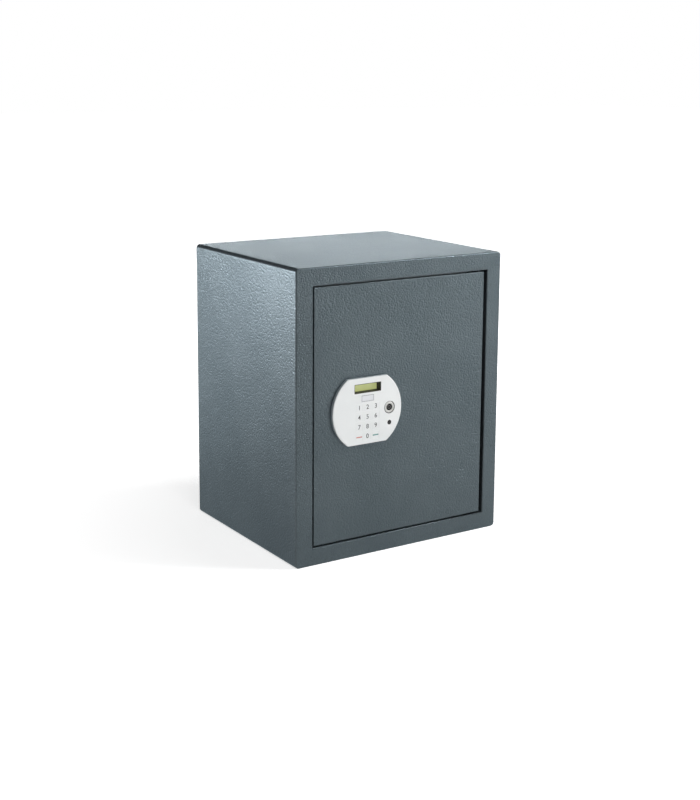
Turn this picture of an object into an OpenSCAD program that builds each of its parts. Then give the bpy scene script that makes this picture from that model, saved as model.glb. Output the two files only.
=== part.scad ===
// Furniture safe: folded steel body, concealed pin hinges, steel door with a white keypad panel,
// and two round bolts that a small geared motor throws through a rack.
// X runs to the right, Y to the back, Z up. The origin is under the middle of the whole object.

/* [Body] */
// Width of the body
body_w = 416; // [400:1:460]
// Height of the body
body_h = 500; // [480:1:560]
// Depth of the body from its front face to its back
body_d = 350; // [320:1:420]
// Thickness of the body sheet
sheet_t = 2; // [1.5:0.5:3]
// Outside bend radius of the four long edges
bend_r = 7; // [5:0.5:10]
// Visible width of the front frame on the latch side
frame_latch_w = 32; // [28:0.5:40]
// Visible width of the front frame on the hinge side
frame_hinge_w = 29; // [26:0.5:40]
// Visible width of the front frame above and below the door
frame_rail_w = 30.5; // [26:0.5:40]
// Depth of the folded inner wall of the front frame
frame_wall_d = 38; // [36:1:46]
// Width of the stop lip behind the edge of the door
lip_w = 10; // [8:0.5:14]
// Clear space between the door and the stop lip
stop_gap = 2; // [1:0.5:3]
// Height of a rubber bumper on the stop lip
bumper_h = 1.7; // [1:0.1:1.8]
// Diameter of a rubber bumper
bumper_d = 7; // [5:0.5:8]

/* [Anchoring] */
// Diameter of the anchor holes
anchor_d = 12; // [8:0.5:14]
// Distance between the two holes in the back
back_anchor_pitch = 240; // [150:5:300]
// Height of the holes in the back
back_anchor_z = 390; // [300:5:440]
// Distance between the two holes in the floor
floor_anchor_pitch = 240; // [150:5:300]
// Distance of the floor holes from the back face
floor_anchor_in = 140; // [80:5:180]

/* [Inside] */
// Height of the top of the shelf
shelf_z = 238; // [180:1:320]
// Thickness of the shelf sheet
shelf_t = 1.2; // [1:0.1:2]
// Height of the folded lips of the shelf
shelf_lip_h = 14; // [8:1:20]
// Space between the shelf and the side walls
shelf_side_gap = 1.5; // [1:0.5:4]
// Space between the shelf and the back panel
shelf_back_gap = 2; // [1:0.5:6]
// Space between the lock cover and the front of the shelf
shelf_front_gap = 14; // [8:1:40]
// Width of one leg of a shelf support angle
support_leg = 16; // [12:1:24]
// Thickness of a shelf support angle
support_t = 1.5; // [1:0.5:2.5]
// Thickness of the floor mat
mat_t = 2.5; // [1:0.5:5]
// Space round the floor mat
mat_gap = 4; // [2:1:10]
// Diameter of the mat's holes over the floor anchors
mat_hole_d = 26; // [18:1:40]

/* [Door] */
// Thickness of the door plate
door_t = 4; // [3:0.5:6]
// How far the door face stands behind the front of the frame
door_recess = 1.5; // [0:0.5:3]
// Gap at the latch side
latch_gap = 3; // [2:0.5:5]
// Gap at the hinge side
hinge_gap = 6.5; // [5.5:0.5:8]
// Gap above and below the door
rail_gap = 3; // [2:0.5:5]
// Thickness of the folded stiffeners on the door
rib_t = 1.5; // [1:0.5:2]
// Width of a horizontal stiffener
rib_w = 24; // [18:1:30]
// Depth of the stiffeners
rib_d = 14; // [10:1:18]
// Width of the upright stiffener beside the hinge
stile_w = 30; // [22:1:36]

/* [Hinge] */
// Distance of the pivot from the hinge edge of the door
pivot_in = 12; // [10:0.5:14]
// Distance of the pivot behind the door face
pivot_back = 12; // [10:0.5:13]
// Diameter of the hinge pins
pin_d = 8; // [6:0.5:9]
// Running clearance of a turning fit, on the radius
run_gap = 0.03; // [0.02:0.01:0.08]
// Outside diameter of the hinge bushes
bush_d = 12; // [11:0.5:14]
// Thickness of the hinge brackets in the frame
bracket_t = 5; // [4:0.5:8]
// Height of the hinge blocks on the door
block_h = 30; // [20:1:40]
// Wall of a hinge block round its pin
block_wall = 4; // [3:0.5:5]
// Play of the thrust washers
washer_play = 0.2; // [0.1:0.1:0.5]

/* [Lock] */
// Distance of each bolt from the nearer end of the door
bolt_in = 86.5; // [84:0.5:92]
// Diameter of the bolts
bolt_d = 20; // [14:0.5:22]
// Travel of the bolts, a whole number of rack teeth
bolt_travel = 18; // [12:3:18]
// Distance of the bolt axis behind the back of the door plate
bolt_back = 16.5; // [15:0.5:18]
// Clearance of the bolts in the frame, on the radius
strike_gap = 1; // [0.5:0.25:1.5]
// Space between the lock case and the stop lip
case_gap = 5; // [4:0.5:8]
// Width of the lock case
case_w = 190; // [186:1:220]
// Depth of the lock case behind the door plate
case_d = 41; // [41:0.5:48]
// Sheet of the lock case and its cover
case_t = 1.5; // [1:0.5:2]
// Height of the case beyond the bolt axes, at each end
case_end = 27; // [22:1:40]
// Thickness of the bolt carriage
carriage_t = 2.5; // [2:0.5:3]
// Free space under the bolt carriage
carriage_lift = 2; // [1.5:0.5:3]
// Running clearance of a sliding fit
slide_gap = 0.1; // [0.05:0.05:0.3]
// Length of a bolt guide bush
guide_l = 8; // [6:0.5:10]
// Diameter of the shoulder studs that guide the carriage
stud_d = 6; // [4:0.5:8]

/* [Gears] */
// Tooth pitch along the pitch line
tooth_pitch = 3; // [3:1:3]
// Height of a tooth above the pitch line
tooth_up = 0.65; // [0.5:0.05:0.65]
// Depth of a tooth below the pitch line
tooth_down = 0.85; // [0.8:0.05:1]
// Play between the flanks
backlash = 0.12; // [0.08:0.02:0.2]
// Teeth of each pinion
pinion_teeth = 12; // [12:1:12]
// Teeth of the large wheel
wheel_teeth = 32; // [28:4:36]
// Face width of the rack
rack_w = 5; // [4:0.5:6]
// Face width of the large wheel
wheel_w = 4; // [3:0.5:5]
// Diameter of the motor can
motor_d = 24; // [20:0.5:26]
// Length of the motor can
motor_l = 18; // [14:1:20]

/* [Panel] */
// Distance of the panel centre from the latch edge of the door
panel_from_latch = 101; // [96:1:110]
// Height of the panel centre above the lower edge of the door
panel_up = 219; // [200:1:260]
// Diameter of the panel
panel_d = 137; // [134:1:146]
// Height between the flats at the top and bottom of the panel
panel_flat_h = 113; // [110:1:124]
// Thickness of the panel
panel_t = 6; // [6:0.5:8]
// Wall of the panel housing
panel_wall = 2; // [1.5:0.5:2]
// Rounding of the panel's round edge
panel_edge_r = 1.5; // [0.5:0.5:1.5]
// Width of the display opening
display_w = 53; // [48:1:56]
// Height of the display opening
display_h = 15.8; // [14:0.2:17]
// Height of the display centre above the panel centre
display_up = 38.7; // [37:0.1:40]
// Wall of the dark insert round the display
display_wall = 0.8; // [0.6:0.1:1.2]
// Depth from the panel face to the display glass
display_depth = 12.5; // [12.5:0.5:13]
// Width of the bare badge plate
badge_w = 25; // [20:1:30]
// Height of the bare badge plate
badge_h = 11.6; // [8:0.2:12]
// Height of the badge centre above the panel centre
badge_up = 21.3; // [20:0.1:22]
// Distance between key columns
key_pitch_x = 16.4; // [16:0.1:18]
// Distance between key rows
key_pitch_z = 16.6; // [16:0.1:17]
// Height of the first key row above the panel centre
key_row_up = 6; // [5:0.5:7]
// Width of a key cap
key_w = 13; // [11:0.5:13.5]
// Height of a key cap
key_h = 13; // [11:0.5:13.5]
// Gap round a key cap
key_gap = 0.25; // [0.15:0.05:0.4]
// Width of the flange that holds a key in
key_flange = 0.8; // [0.6:0.1:1]
// Travel of a key
key_travel = 0.8; // [0.4:0.1:0.8]
// Distance of the reader and the status window from the right end of the panel
reader_in = 24.5; // [22:0.5:27]
// Outside diameter of the reader ring
reader_d = 21.5; // [18:0.5:24]
// Diameter of the dark disc in the reader
disc_d = 12; // [10:0.5:14]
// Distance of the status window below the panel centre
window_down = 26; // [24:0.5:28]
// Diameter of the status window
window_d = 8; // [7:0.5:9]

/* [Battery box] */
// Diameter of a battery cell
cell_d = 14.3; // [14:0.1:14.5]
// Length of a battery cell
cell_l = 50; // [48:0.5:51]
// Number of cells
cells = 4; // [2:1:4]
// Travel of the battery cover
hatch_travel = 28; // [10:1:30]

/* [Hidden] */
$fn = 64;

// Small distance that makes a cut go clean through a face
cut = 1;

// The front stands back by half of what the panel is proud of the frame, so the box stays centred
panel_proud = panel_t - door_recess;
front_y = (panel_proud - body_d) / 2;
back_y = front_y + body_d;
side_x = body_w / 2;
open_left = -side_x + frame_latch_w;
open_right = side_x - frame_hinge_w;
open_low = frame_rail_w;
open_high = body_h - frame_rail_w;
wall_back_y = front_y + frame_wall_d;

// Door plate
door_left = open_left + latch_gap;
door_right = open_right - hinge_gap;
door_low = open_low + rail_gap;
door_high = open_high - rail_gap;
door_face_y = front_y + door_recess;
door_rear_y = door_face_y + door_t;

// Stop frame: the lip ends short of the circle that the hinge corner of the door sweeps
lip_y = door_rear_y + stop_gap;
pivot_x = door_right - pivot_in;
pivot_y = door_face_y + pivot_back;
sweep_r = norm([pivot_in, pivot_back]);
bumper_in = 50;
lip_end_x = pivot_x - sweep_r - 2 * stop_gap;
strike_x = open_left + lip_w;

// Hinge blocks and brackets
pin_r = pin_d / 2;
block_left = pivot_x - pin_r - block_wall;
block_back = pivot_y + pin_r + block_wall;
bracket_left = pivot_x - bush_d;
bracket_back = pivot_y + bush_d;
washer_r = bush_d / 2 + 1;

// Panel centre and the face planes of the panel
panel_x = door_left + panel_from_latch;
panel_z = door_low + panel_up;
panel_face_y = door_face_y - panel_t;
skin_y = panel_face_y + panel_wall;
display_z = panel_z + display_up;
display_y = panel_face_y + display_depth;
reader_x = panel_x + panel_d / 2 - reader_in;
window_z = panel_z - window_down;
boss_x = 40;
boss_z = 42;
boss_r = 3.4;
screw_r = 1.5;
thread_gap = 0.03;

// Lock case
case_left = strike_x + case_gap;
case_right = case_left + case_w;
bolt_zs = [door_low + bolt_in, door_high - bolt_in];
case_low = bolt_zs[0] - case_end;
case_high = bolt_zs[1] + case_end;
floor_y = door_rear_y + case_t;
cover_y = door_rear_y + case_d;
case_back_y = cover_y + case_t;
cover_lip = 8;
cover_gap = 0.2;

// Bolts and carriage: at rest the bolts stand one sheet proud of the case, clear of the frame
bolt_r = bolt_d / 2;
bolt_y = door_rear_y + bolt_back;
bolt_tip_x = case_left - case_t;
carriage_y = floor_y + carriage_lift;
carriage_back_y = carriage_y + carriage_t;
carriage_spare = 3.5;
carriage_x = case_left + case_t + guide_l + bolt_travel + carriage_spare;
flange_x = carriage_x + carriage_t;
bolt_tip_chamfer = 1;
strap_w = 24;
arm_h = 28;
arm_reach = 50;
arm_right = carriage_x + arm_reach;
stud_in = 20;
stud_x = carriage_x + stud_in;
stud_r = stud_d / 2;
slot_play = 0.5;
bolt_screw_r = 3;
bolt_screw_l = 12;
bolt_head_r = 5;
bolt_head_h = 4;
cover_screw_l = 10;
head_h = 2;
head_r = screw_r + 1.5;

// Gear train: rack over pinion, the large wheel behind it, the motor under the wheel
pressure = 20;
pinion_r = pinion_teeth * tooth_pitch / (2 * PI);
wheel_r = wheel_teeth * tooth_pitch / (2 * PI);
gear_in = 60;
gear_x = carriage_x + gear_in;
rack_drop = 68;
rack_z = panel_z - rack_drop;
gear_z = rack_z - pinion_r;
motor_z = gear_z - pinion_r - wheel_r;
rack_y = carriage_back_y;
rack_back_y = rack_y + rack_w;
wheel_y = rack_back_y + 1;
wheel_back_y = wheel_y + wheel_w;
rack_left = gear_x - 4 * tooth_pitch;
rack_right = gear_x + bolt_travel + 4 * tooth_pitch;
rack_body_h = 6;
rack_arm_low = rack_z + 2.5;
rack_arm_h = 10;
gear_pin_r = 3;
shaft_r = 1.5;
motor_plate_y = wheel_back_y + 1;
motor_plate_t = 1.5;
motor_y = motor_plate_y + motor_plate_t;
motor_boss_r = 4;
motor_r = motor_d / 2;
leg_in = 2.5;

// Board, battery box and their fixings
board_left = reader_x + 1;
board_right = case_right - 6;
board_low = panel_z - 60;
board_high = panel_z + 38;
board_y = floor_y + 7;
board_t = 1.6;
post_in = 4;
board_post_x = [board_left + post_in, board_right - post_in];
board_post_z = [board_low + post_in, board_high - post_in];
tray_wall = 1.5;
tray_w = cell_l + 6;
cell_step = cell_d + 0.7;
tray_h = cells * cell_step + 1;
tray_left = case_right - tray_w - 3 * tray_wall - 14;
tray_down = 27;
tray_low = case_high - tray_down - tray_h;
tray_depth = cell_d + 1.6;
tray_floor_y = cover_y - tray_depth - tray_wall;
hatch_over = 3;
hatch_t = 1.5;
rail_h = 2.4;

// Seats and holes of the posts that carry the cover
post_r = 3.5;
post_x = [case_left + case_t + post_r + 3, case_right - case_t - post_r];
post_z = [case_low + case_t + post_r, case_high - case_t - post_r];

// A shape drawn in X and Z, made solid from one Y to another
module along_y(y0, y1)
    translate([0, y1, 0])
    rotate([90, 0, 0])
    linear_extrude(height = y1 - y0)
    children();

// A straight-edged block between two corners
module block(low, high)
    translate(low)
    cube(high - low);

// A round bar along each axis
module bar_y(x, z, y0, y1, r)
    translate([x, y0, z])
    rotate([-90, 0, 0])
    cylinder(h = y1 - y0, r = r);

module bar_x(y, z, x0, x1, r)
    translate([x0, y, z])
    rotate([0, 90, 0])
    cylinder(h = x1 - x0, r = r);

module bar_z(x, y, z0, z1, r)
    translate([x, y, z0])
    cylinder(h = z1 - z0, r = r);

// An upright rectangle with round corners, drawn from corner to corner in X and Z
module round_rect(x0, x1, z0, z1, r) {
    translate([x0 + r, z0])
    square([x1 - x0 - 2 * r, z1 - z0]);
    translate([x0, z0 + r])
    square([x1 - x0, z1 - z0 - 2 * r]);
    for (x = [x0 + r, x1 - r], z = [z0 + r, z1 - r])
        translate([x, z])
        circle(r = r);
}

module rect(x0, x1, z0, z1)
    translate([x0, z0])
    square([x1 - x0, z1 - z0]);

// Holes for the bolts, and the holes for the screws that hold the safe down
module strike_holes(x0, x1)
    for (z = bolt_zs)
        bar_x(bolt_y, z, x0, x1, bolt_r + strike_gap);

module floor_anchor_holes(z0, z1, r)
    for (side = [-1, 1])
        bar_z(side * floor_anchor_pitch / 2, back_y - floor_anchor_in, z0, z1, r);

// The walls and the folded front flange are one bent sheet
module body_shell() color([0.33, 0.37, 0.39])
    difference() {
        along_y(front_y, back_y)
        round_rect(-side_x, side_x, 0, body_h, bend_r);
        along_y(front_y + sheet_t, back_y + cut)
        round_rect(-side_x + sheet_t, side_x - sheet_t, sheet_t, body_h - sheet_t, bend_r - sheet_t);
        along_y(front_y - cut, front_y + sheet_t + cut)
        rect(open_left, open_right, open_low, open_high);
        floor_anchor_holes(-cut, sheet_t + cut, anchor_d / 2);
    }

// The inner wall of the front frame, welded behind the flange, with holes for bolts and bushes
module door_frame() color([0.33, 0.37, 0.39])
    difference() {
        along_y(front_y + sheet_t, wall_back_y)
        difference() {
            rect(open_left - sheet_t, open_right + sheet_t, open_low - sheet_t, open_high + sheet_t);
            rect(open_left, open_right, open_low, open_high);
        }
        strike_holes(open_left - sheet_t - cut, open_left + cut);
        for (z = [open_low - sheet_t - cut, open_high - cut])
            bar_z(pivot_x, pivot_y, z, z + sheet_t + 2 * cut, bush_d / 2);
    }

module back_panel() color([0.33, 0.37, 0.39])
    difference() {
        along_y(back_y - sheet_t, back_y)
        round_rect(-side_x + sheet_t, side_x - sheet_t, sheet_t, body_h - sheet_t, bend_r);
        for (side = [-1, 1])
            bar_y(side * back_anchor_pitch / 2, back_anchor_z, back_y - sheet_t - cut, back_y + cut,
                anchor_d / 2);
    }

// Folded angle on three sides: the lip stops the door, its inner wall takes the bolts
module stop_frame() color([0.3, 0.34, 0.36])
    difference() {
        union() {
            along_y(lip_y, lip_y + sheet_t)
            difference() {
                rect(open_left, lip_end_x, open_low, open_high);
                rect(strike_x, lip_end_x + cut, open_low + lip_w, open_high - lip_w);
            }
            along_y(lip_y + sheet_t / 2, wall_back_y)
            difference() {
                rect(strike_x - sheet_t, lip_end_x, open_low + lip_w - sheet_t, open_high - lip_w + sheet_t);
                rect(strike_x, lip_end_x + cut, open_low + lip_w, open_high - lip_w);
            }
        }
        strike_holes(strike_x - sheet_t - cut, strike_x + cut);
    }

module stop_bumpers() color([0.08, 0.08, 0.08])
    for (z = [open_low + bumper_in, open_high - bumper_in])
        bar_y(open_left + lip_w / 2, z, lip_y - bumper_h, lip_y, bumper_d / 2);

// Each end of the hinge: bracket in the frame, bush, washer, block on the door, and pin
module hinge_brackets() color([0.3, 0.34, 0.36])
    for (z = [open_low - sheet_t - bracket_t, open_high + sheet_t])
        difference() {
            block([bracket_left, front_y + sheet_t, z], [side_x - sheet_t, bracket_back, z + bracket_t]);
            bar_z(pivot_x, pivot_y, z - cut, z + bracket_t + cut, bush_d / 2);
        }

module hinge_bushes() color([0.72, 0.58, 0.3])
    for (z = [open_low - sheet_t - bracket_t, open_high])
        difference() {
            bar_z(pivot_x, pivot_y, z, z + sheet_t + bracket_t, bush_d / 2);
            bar_z(pivot_x, pivot_y, z - cut, z + sheet_t + bracket_t + cut, pin_r + run_gap);
        }

module hinge_washers() color([0.75, 0.75, 0.73])
    for (z = [open_low, door_high + washer_play])
        difference() {
            bar_z(pivot_x, pivot_y, z, z + rail_gap - washer_play, washer_r);
            bar_z(pivot_x, pivot_y, z - cut, z + rail_gap + cut, pin_r + run_gap);
        }

module hinge_blocks() color([0.33, 0.37, 0.39])
    for (z = [door_low, door_high - block_h])
        difference() {
            block([block_left, door_rear_y, z], [door_right, block_back, z + block_h]);
            bar_z(pivot_x, pivot_y, z - cut, z + block_h + cut, pin_r + run_gap);
        }

module hinge_pins() color([0.7, 0.7, 0.7])
    for (z = [open_low - sheet_t - bracket_t + 1, door_high - block_h])
        bar_z(pivot_x, pivot_y, z, z + block_h + rail_gap + sheet_t + bracket_t - 1, pin_r);

// Shelf and floor mat
module shelf() color([0.33, 0.37, 0.39]) {
    x = side_x - sheet_t - shelf_side_gap;
    y0 = case_back_y + shelf_front_gap;
    y1 = back_y - sheet_t - shelf_back_gap;
    block([-x, y0, shelf_z - shelf_t], [x, y1, shelf_z]);
    for (y = [y0, y1 - shelf_t])
        block([-x + support_leg + shelf_side_gap, y, shelf_z - shelf_lip_h],
            [x - support_leg - shelf_side_gap, y + shelf_t, shelf_z]);
}

module shelf_supports() color([0.33, 0.37, 0.39])
    for (side = [0, 1])
        mirror([side, 0, 0])
        along_y(case_back_y + shelf_front_gap, back_y - sheet_t - shelf_back_gap) {
            rect(side_x - sheet_t - support_leg, side_x - sheet_t,
                shelf_z - shelf_t - support_t, shelf_z - shelf_t);
            rect(side_x - sheet_t - support_t, side_x - sheet_t,
                shelf_z - shelf_t - support_leg, shelf_z - shelf_t);
        }

module floor_mat() color([0.12, 0.12, 0.13]) {
    x = side_x - bend_r - mat_gap;
    difference() {
        block([-x, wall_back_y + mat_gap, sheet_t], [x, back_y - sheet_t - mat_gap, sheet_t + mat_t]);
        floor_anchor_holes(0, sheet_t + mat_t + cut, mat_hole_d / 2);
    }
}

// Holes through the door and the case floor for what the panel sends behind the door
cable_x = panel_x + 12;
cable_z = panel_z - 20;
cable_r = 5;
module panel_openings(extra = 0)
    union() {
        x = display_w / 2 + extra;
        z = display_h / 2 + extra;
        block([panel_x - x, door_face_y - cut, display_z - z], [panel_x + x, carriage_y, display_z + z]);
        bar_y(reader_x, panel_z, door_face_y - cut, carriage_y, reader_body_r + extra);
        bar_y(reader_x, window_z, door_face_y - cut, carriage_y, window_d / 2 + extra);
        bar_y(cable_x, cable_z, door_face_y - cut, carriage_y, cable_r);
        for (x = [-boss_x, boss_x], z = [-boss_z, boss_z])
            bar_y(panel_x + x, panel_z + z, door_face_y - cut, carriage_y, screw_r + thread_gap);
    }

module door_plate() color([0.33, 0.37, 0.39])
    difference() {
        block([door_left, door_face_y, door_low], [door_right, door_rear_y, door_high]);
        panel_openings();
    }

// A hat-shaped stiffener, drawn with its open side on the door
module hat(w)
    difference() {
        translate([-w / 2, 0])
        square([w, rib_d]);
        translate([-w / 2 + rib_t, -cut])
        square([w - 2 * rib_t, rib_d - rib_t + cut]);
    }

module door_ribs() color([0.33, 0.37, 0.39])
    for (z = [(door_low + lip_w + case_low) / 2, (door_high - lip_w + case_high) / 2])
        translate([case_left, door_rear_y, z])
        rotate([90, 0, 90])
        linear_extrude(height = rib_right - case_left)
        rotate([0, 0, 90])
        mirror([0, 1])
        hat(rib_w);

rib_right = block_left - stile_w - 10;

module hinge_stile() color([0.33, 0.37, 0.39])
    translate([block_left - stile_w / 2 - 5, door_rear_y, door_low + block_h + lip_w])
    linear_extrude(height = door_high - door_low - 2 * (block_h + lip_w))
    hat(stile_w);

// Lock case: a tray welded to the door, with the bolt guides in its latch wall
module lock_case() color([0.3, 0.33, 0.35])
    difference() {
        block([case_left, door_rear_y, case_low], [case_right, cover_y, case_high]);
        block([case_left + case_t, floor_y, case_low + case_t],
            [case_right - case_t, cover_y + cut, case_high - case_t]);
        panel_openings();
        for (z = bolt_zs)
            bar_x(bolt_y, z, case_left - cut, case_left + case_t + cut, guide_r);
    }

guide_r = bolt_r + 2;
guide_flange_r = guide_r + 1.5;
module bolt_guides() color([0.85, 0.84, 0.8])
    for (z = bolt_zs)
        difference() {
            union() {
                bar_x(bolt_y, z, case_left, case_left + case_t + guide_l, guide_r);
                bar_x(bolt_y, z, case_left + case_t, case_left + case_t + 1.5, guide_flange_r);
            }
            bar_x(bolt_y, z, case_left - cut, case_left + case_t + guide_l + cut, bolt_r + slide_gap / 2);
        }

module cover_posts() color([0.75, 0.72, 0.6])
    for (x = post_x, z = post_z)
        difference() {
            bar_y(x, z, floor_y, cover_y, post_r);
            bar_y(x, z, case_back_y - cover_screw_l - cut, cover_y + cut, screw_r + thread_gap);
        }

// The carriage, a bent plate with a strap, two slotted arms and an arm under the rack
module carriage_outline() {
    rect(carriage_x, carriage_x + strap_w, bolt_zs[0] - arm_h / 2, bolt_zs[1] + arm_h / 2);
    for (z = bolt_zs)
        rect(carriage_x, arm_right, z - arm_h / 2, z + arm_h / 2);
    rect(carriage_x, rack_right, rack_arm_low, rack_arm_low + rack_arm_h);
}

module slot_outline(x, z) {
    r = stud_r + slide_gap;
    rect(x - slot_play, x + bolt_travel + slot_play, z - r, z + r);
    for (end = [x - slot_play, x + bolt_travel + slot_play])
        translate([end, z])
        circle(r = r);
}

module bolt_carriage() color([0.78, 0.76, 0.68])
    difference() {
        union() {
            along_y(carriage_y, carriage_back_y)
            carriage_outline();
            for (z = bolt_zs)
                block([carriage_x, carriage_y, z - arm_h / 2], [flange_x, bolt_y + bolt_r, z + arm_h / 2]);
        }
        for (z = bolt_zs) {
            along_y(carriage_y - cut, carriage_back_y + cut)
            slot_outline(stud_x, z);
            bar_x(bolt_y, z, carriage_x - cut, flange_x + cut, bolt_screw_r + thread_gap);
        }
    }

module carriage_studs() color([0.7, 0.7, 0.72])
    for (z = bolt_zs) {
        bar_y(stud_x, z, floor_y, carriage_y - slide_gap, stud_r + 3);
        bar_y(stud_x, z, floor_y, carriage_back_y + slide_gap + 1, stud_r);
        bar_y(stud_x, z, carriage_back_y + slide_gap, carriage_back_y + slide_gap + 2, stud_r + 2.5);
    }

module locking_bolts() color([0.72, 0.72, 0.72])
    for (z = bolt_zs)
        difference() {
            translate([bolt_tip_x, bolt_y, z])
            rotate([0, 90, 0])
            union() {
                cylinder(h = bolt_tip_chamfer, r1 = bolt_r - bolt_tip_chamfer, r2 = bolt_r);
                translate([0, 0, bolt_tip_chamfer])
                cylinder(h = carriage_x - bolt_tip_x - bolt_tip_chamfer, r = bolt_r);
            }
            bar_x(bolt_y, z, carriage_x - bolt_screw_l - 2 * cut, carriage_x + cut,
                bolt_screw_r + thread_gap);
        }

module bolt_screws() color([0.5, 0.5, 0.52])
    for (z = bolt_zs) {
        bar_x(bolt_y, z, carriage_x - bolt_screw_l, flange_x + bolt_head_h / 2, bolt_screw_r);
        difference() {
            bar_x(bolt_y, z, flange_x, flange_x + bolt_head_h, bolt_head_r);
            translate([flange_x + bolt_head_h / 2, bolt_y, z])
            rotate([0, 90, 0])
            cylinder(h = bolt_head_h, r = bolt_head_r / 2, $fn = 6);
        }
    }

// Involute teeth: the half angle of a tooth at a radius, and the outline of a whole gear
function involute(angle) = tan(angle) - angle * PI / 180;
function half_angle(teeth, r) =
    let (pitch_r = teeth * tooth_pitch / (2 * PI),
        base_r = pitch_r * cos(pressure),
        at_r = max(r, base_r))
    ((tooth_pitch / 2 - backlash) / (2 * pitch_r)
        + involute(pressure) - involute(acos(base_r / at_r))) * 180 / PI;

flank_steps = 4;
function gear_points(teeth) =
    let (pitch_r = teeth * tooth_pitch / (2 * PI),
        base_r = pitch_r * cos(pressure),
        tip_r = pitch_r + tooth_up,
        root_r = pitch_r - tooth_down,
        flank_r = [root_r, for (k = [0:flank_steps])
            max(base_r, root_r + 0.05) + k * (tip_r - max(base_r, root_r + 0.05)) / flank_steps])
    [for (tooth = [0:teeth - 1], side = [-1, 1], k = [0:flank_steps + 1])
        let (r = flank_r[side < 0 ? k : flank_steps + 1 - k],
            angle = tooth * 360 / teeth + side * half_angle(teeth, r))
        [r * cos(angle), r * sin(angle)]];

module gear_outline(teeth)
    polygon(gear_points(teeth));

// Straight-flanked teeth that point down, with a space over the pinion's axis
module rack_outline() {
    half = tooth_pitch / 4 - backlash / 2;
    top_half = half + tooth_down * tan(pressure);
    tip_half = half - tooth_up * tan(pressure);
    for (x = [rack_left + tooth_pitch / 2:tooth_pitch:rack_right - tooth_pitch / 4])
        translate([x, rack_z])
        polygon([[-top_half, tooth_down], [-tip_half, -tooth_up], [tip_half, -tooth_up],
            [top_half, tooth_down]]);
    rect(rack_left, rack_right, rack_z + tooth_down, rack_z + tooth_down + rack_body_h);
}

module gear_rack() color([0.75, 0.6, 0.3])
    along_y(rack_y, rack_back_y)
    rack_outline();

module reduction_gear() color([0.9, 0.89, 0.84])
    difference() {
        union() {
            translate([gear_x, 0, gear_z])
            along_y(rack_y - 0.5, wheel_y)
            rotate([0, 0, 90])
            gear_outline(pinion_teeth);
            translate([gear_x, 0, gear_z])
            along_y(wheel_y, wheel_back_y)
            rotate([0, 0, -90])
            gear_outline(wheel_teeth);
        }
        bar_y(gear_x, gear_z, rack_y - cut, wheel_back_y + cut, gear_pin_r + run_gap);
    }

module gear_pivot() color([0.7, 0.7, 0.72]) {
    bar_y(gear_x, gear_z, floor_y, rack_y - 0.5 - slide_gap, gear_pin_r + 1.2);
    bar_y(gear_x, gear_z, floor_y, wheel_back_y + 0.8, gear_pin_r);
    bar_y(gear_x, gear_z, wheel_back_y + slide_gap, wheel_back_y + 0.8, gear_pin_r + 1);
}

module motor_pinion() color([0.72, 0.6, 0.32]) {
    translate([gear_x, 0, motor_z])
    along_y(wheel_y - 0.5, wheel_back_y + 0.4)
    rotate([0, 0, 90 + 180 / pinion_teeth])
    gear_outline(pinion_teeth);
    bar_y(gear_x, motor_z, wheel_y - 1.5, motor_y + 6, shaft_r);
}

module gear_motor() color([0.68, 0.68, 0.66])
    difference() {
        union() {
            bar_y(gear_x, motor_z, motor_y, motor_y + motor_l, motor_r);
            bar_y(gear_x, motor_z, motor_plate_y, motor_y + cut, motor_boss_r);
            bar_y(gear_x, motor_z, motor_y + motor_l - cut, motor_y + motor_l + 1, motor_r / 3);
        }
        bar_y(gear_x, motor_z, motor_plate_y - cut, motor_y + 7, shaft_r + run_gap);
    }

module motor_bracket() color([0.75, 0.74, 0.68])
    difference() {
        union() {
            block([gear_x - motor_r - leg_in - motor_plate_t, motor_plate_y, motor_z - motor_r],
                [gear_x + motor_r + leg_in + motor_plate_t, motor_y, motor_z + leg_in]);
            for (side = [-1, 1])
                translate([gear_x + side * (motor_r + leg_in + motor_plate_t / 2), 0, 0])
                block([-motor_plate_t / 2, floor_y, motor_z - motor_r],
                    [motor_plate_t / 2, motor_y, motor_z + leg_in]);
        }
        bar_y(gear_x, motor_z, motor_plate_y - cut, motor_y + cut, motor_boss_r + thread_gap);
    }

// Electronics: a chip, three lead sockets and two capacitors on one board
chip_w = 12;
chip_h = 2;
chip_x = board_left + chip_w;
chip_z = board_high - 3 * chip_w;
socket_l = 12;
socket_w = 5;
socket_h = 6;
socket_in = 3;
socket_x = board_right - socket_l - 2 * socket_w;
side_socket_z = board_low + 30;
tall_r = 4;
tall_h = 11;
tall_z = board_low + 25;
wide_r = 5;
wide_h = 9;
wide_z = board_low + 70;
can_x = board_right - 2 * wide_r;
module main_board() color([0.1, 0.36, 0.22])
    difference() {
        top = board_y + board_t;
        union() {
            block([board_left, board_y, board_low], [board_right, top, board_high]);
            block([chip_x, top, chip_z - chip_w], [chip_x + chip_w, top + chip_h, chip_z]);
            block([board_left + socket_in, top, side_socket_z],
                [board_left + socket_in + socket_w, top + socket_h, side_socket_z + socket_l]);
            for (z = [board_low + socket_in, board_high - socket_in - socket_w])
                block([socket_x, top, z], [socket_x + socket_l, top + socket_h, z + socket_w]);
            bar_y(can_x, tall_z, board_y + board_t / 2, top + tall_h, tall_r);
            bar_y(can_x, wide_z, board_y + board_t / 2, top + wide_h, wide_r);
        }
        for (x = board_post_x, z = board_post_z)
            bar_y(x, z, board_y - cut, board_y + board_t + cut, screw_r + thread_gap);
    }

module board_posts() color([0.8, 0.78, 0.7])
    for (x = board_post_x, z = board_post_z) {
        bar_y(x, z, floor_y, board_y, head_r);
        bar_y(x, z, board_y - cut, board_y + board_t + head_h / 2, screw_r);
        bar_y(x, z, board_y + board_t, board_y + board_t + head_h, head_r);
    }

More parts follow.
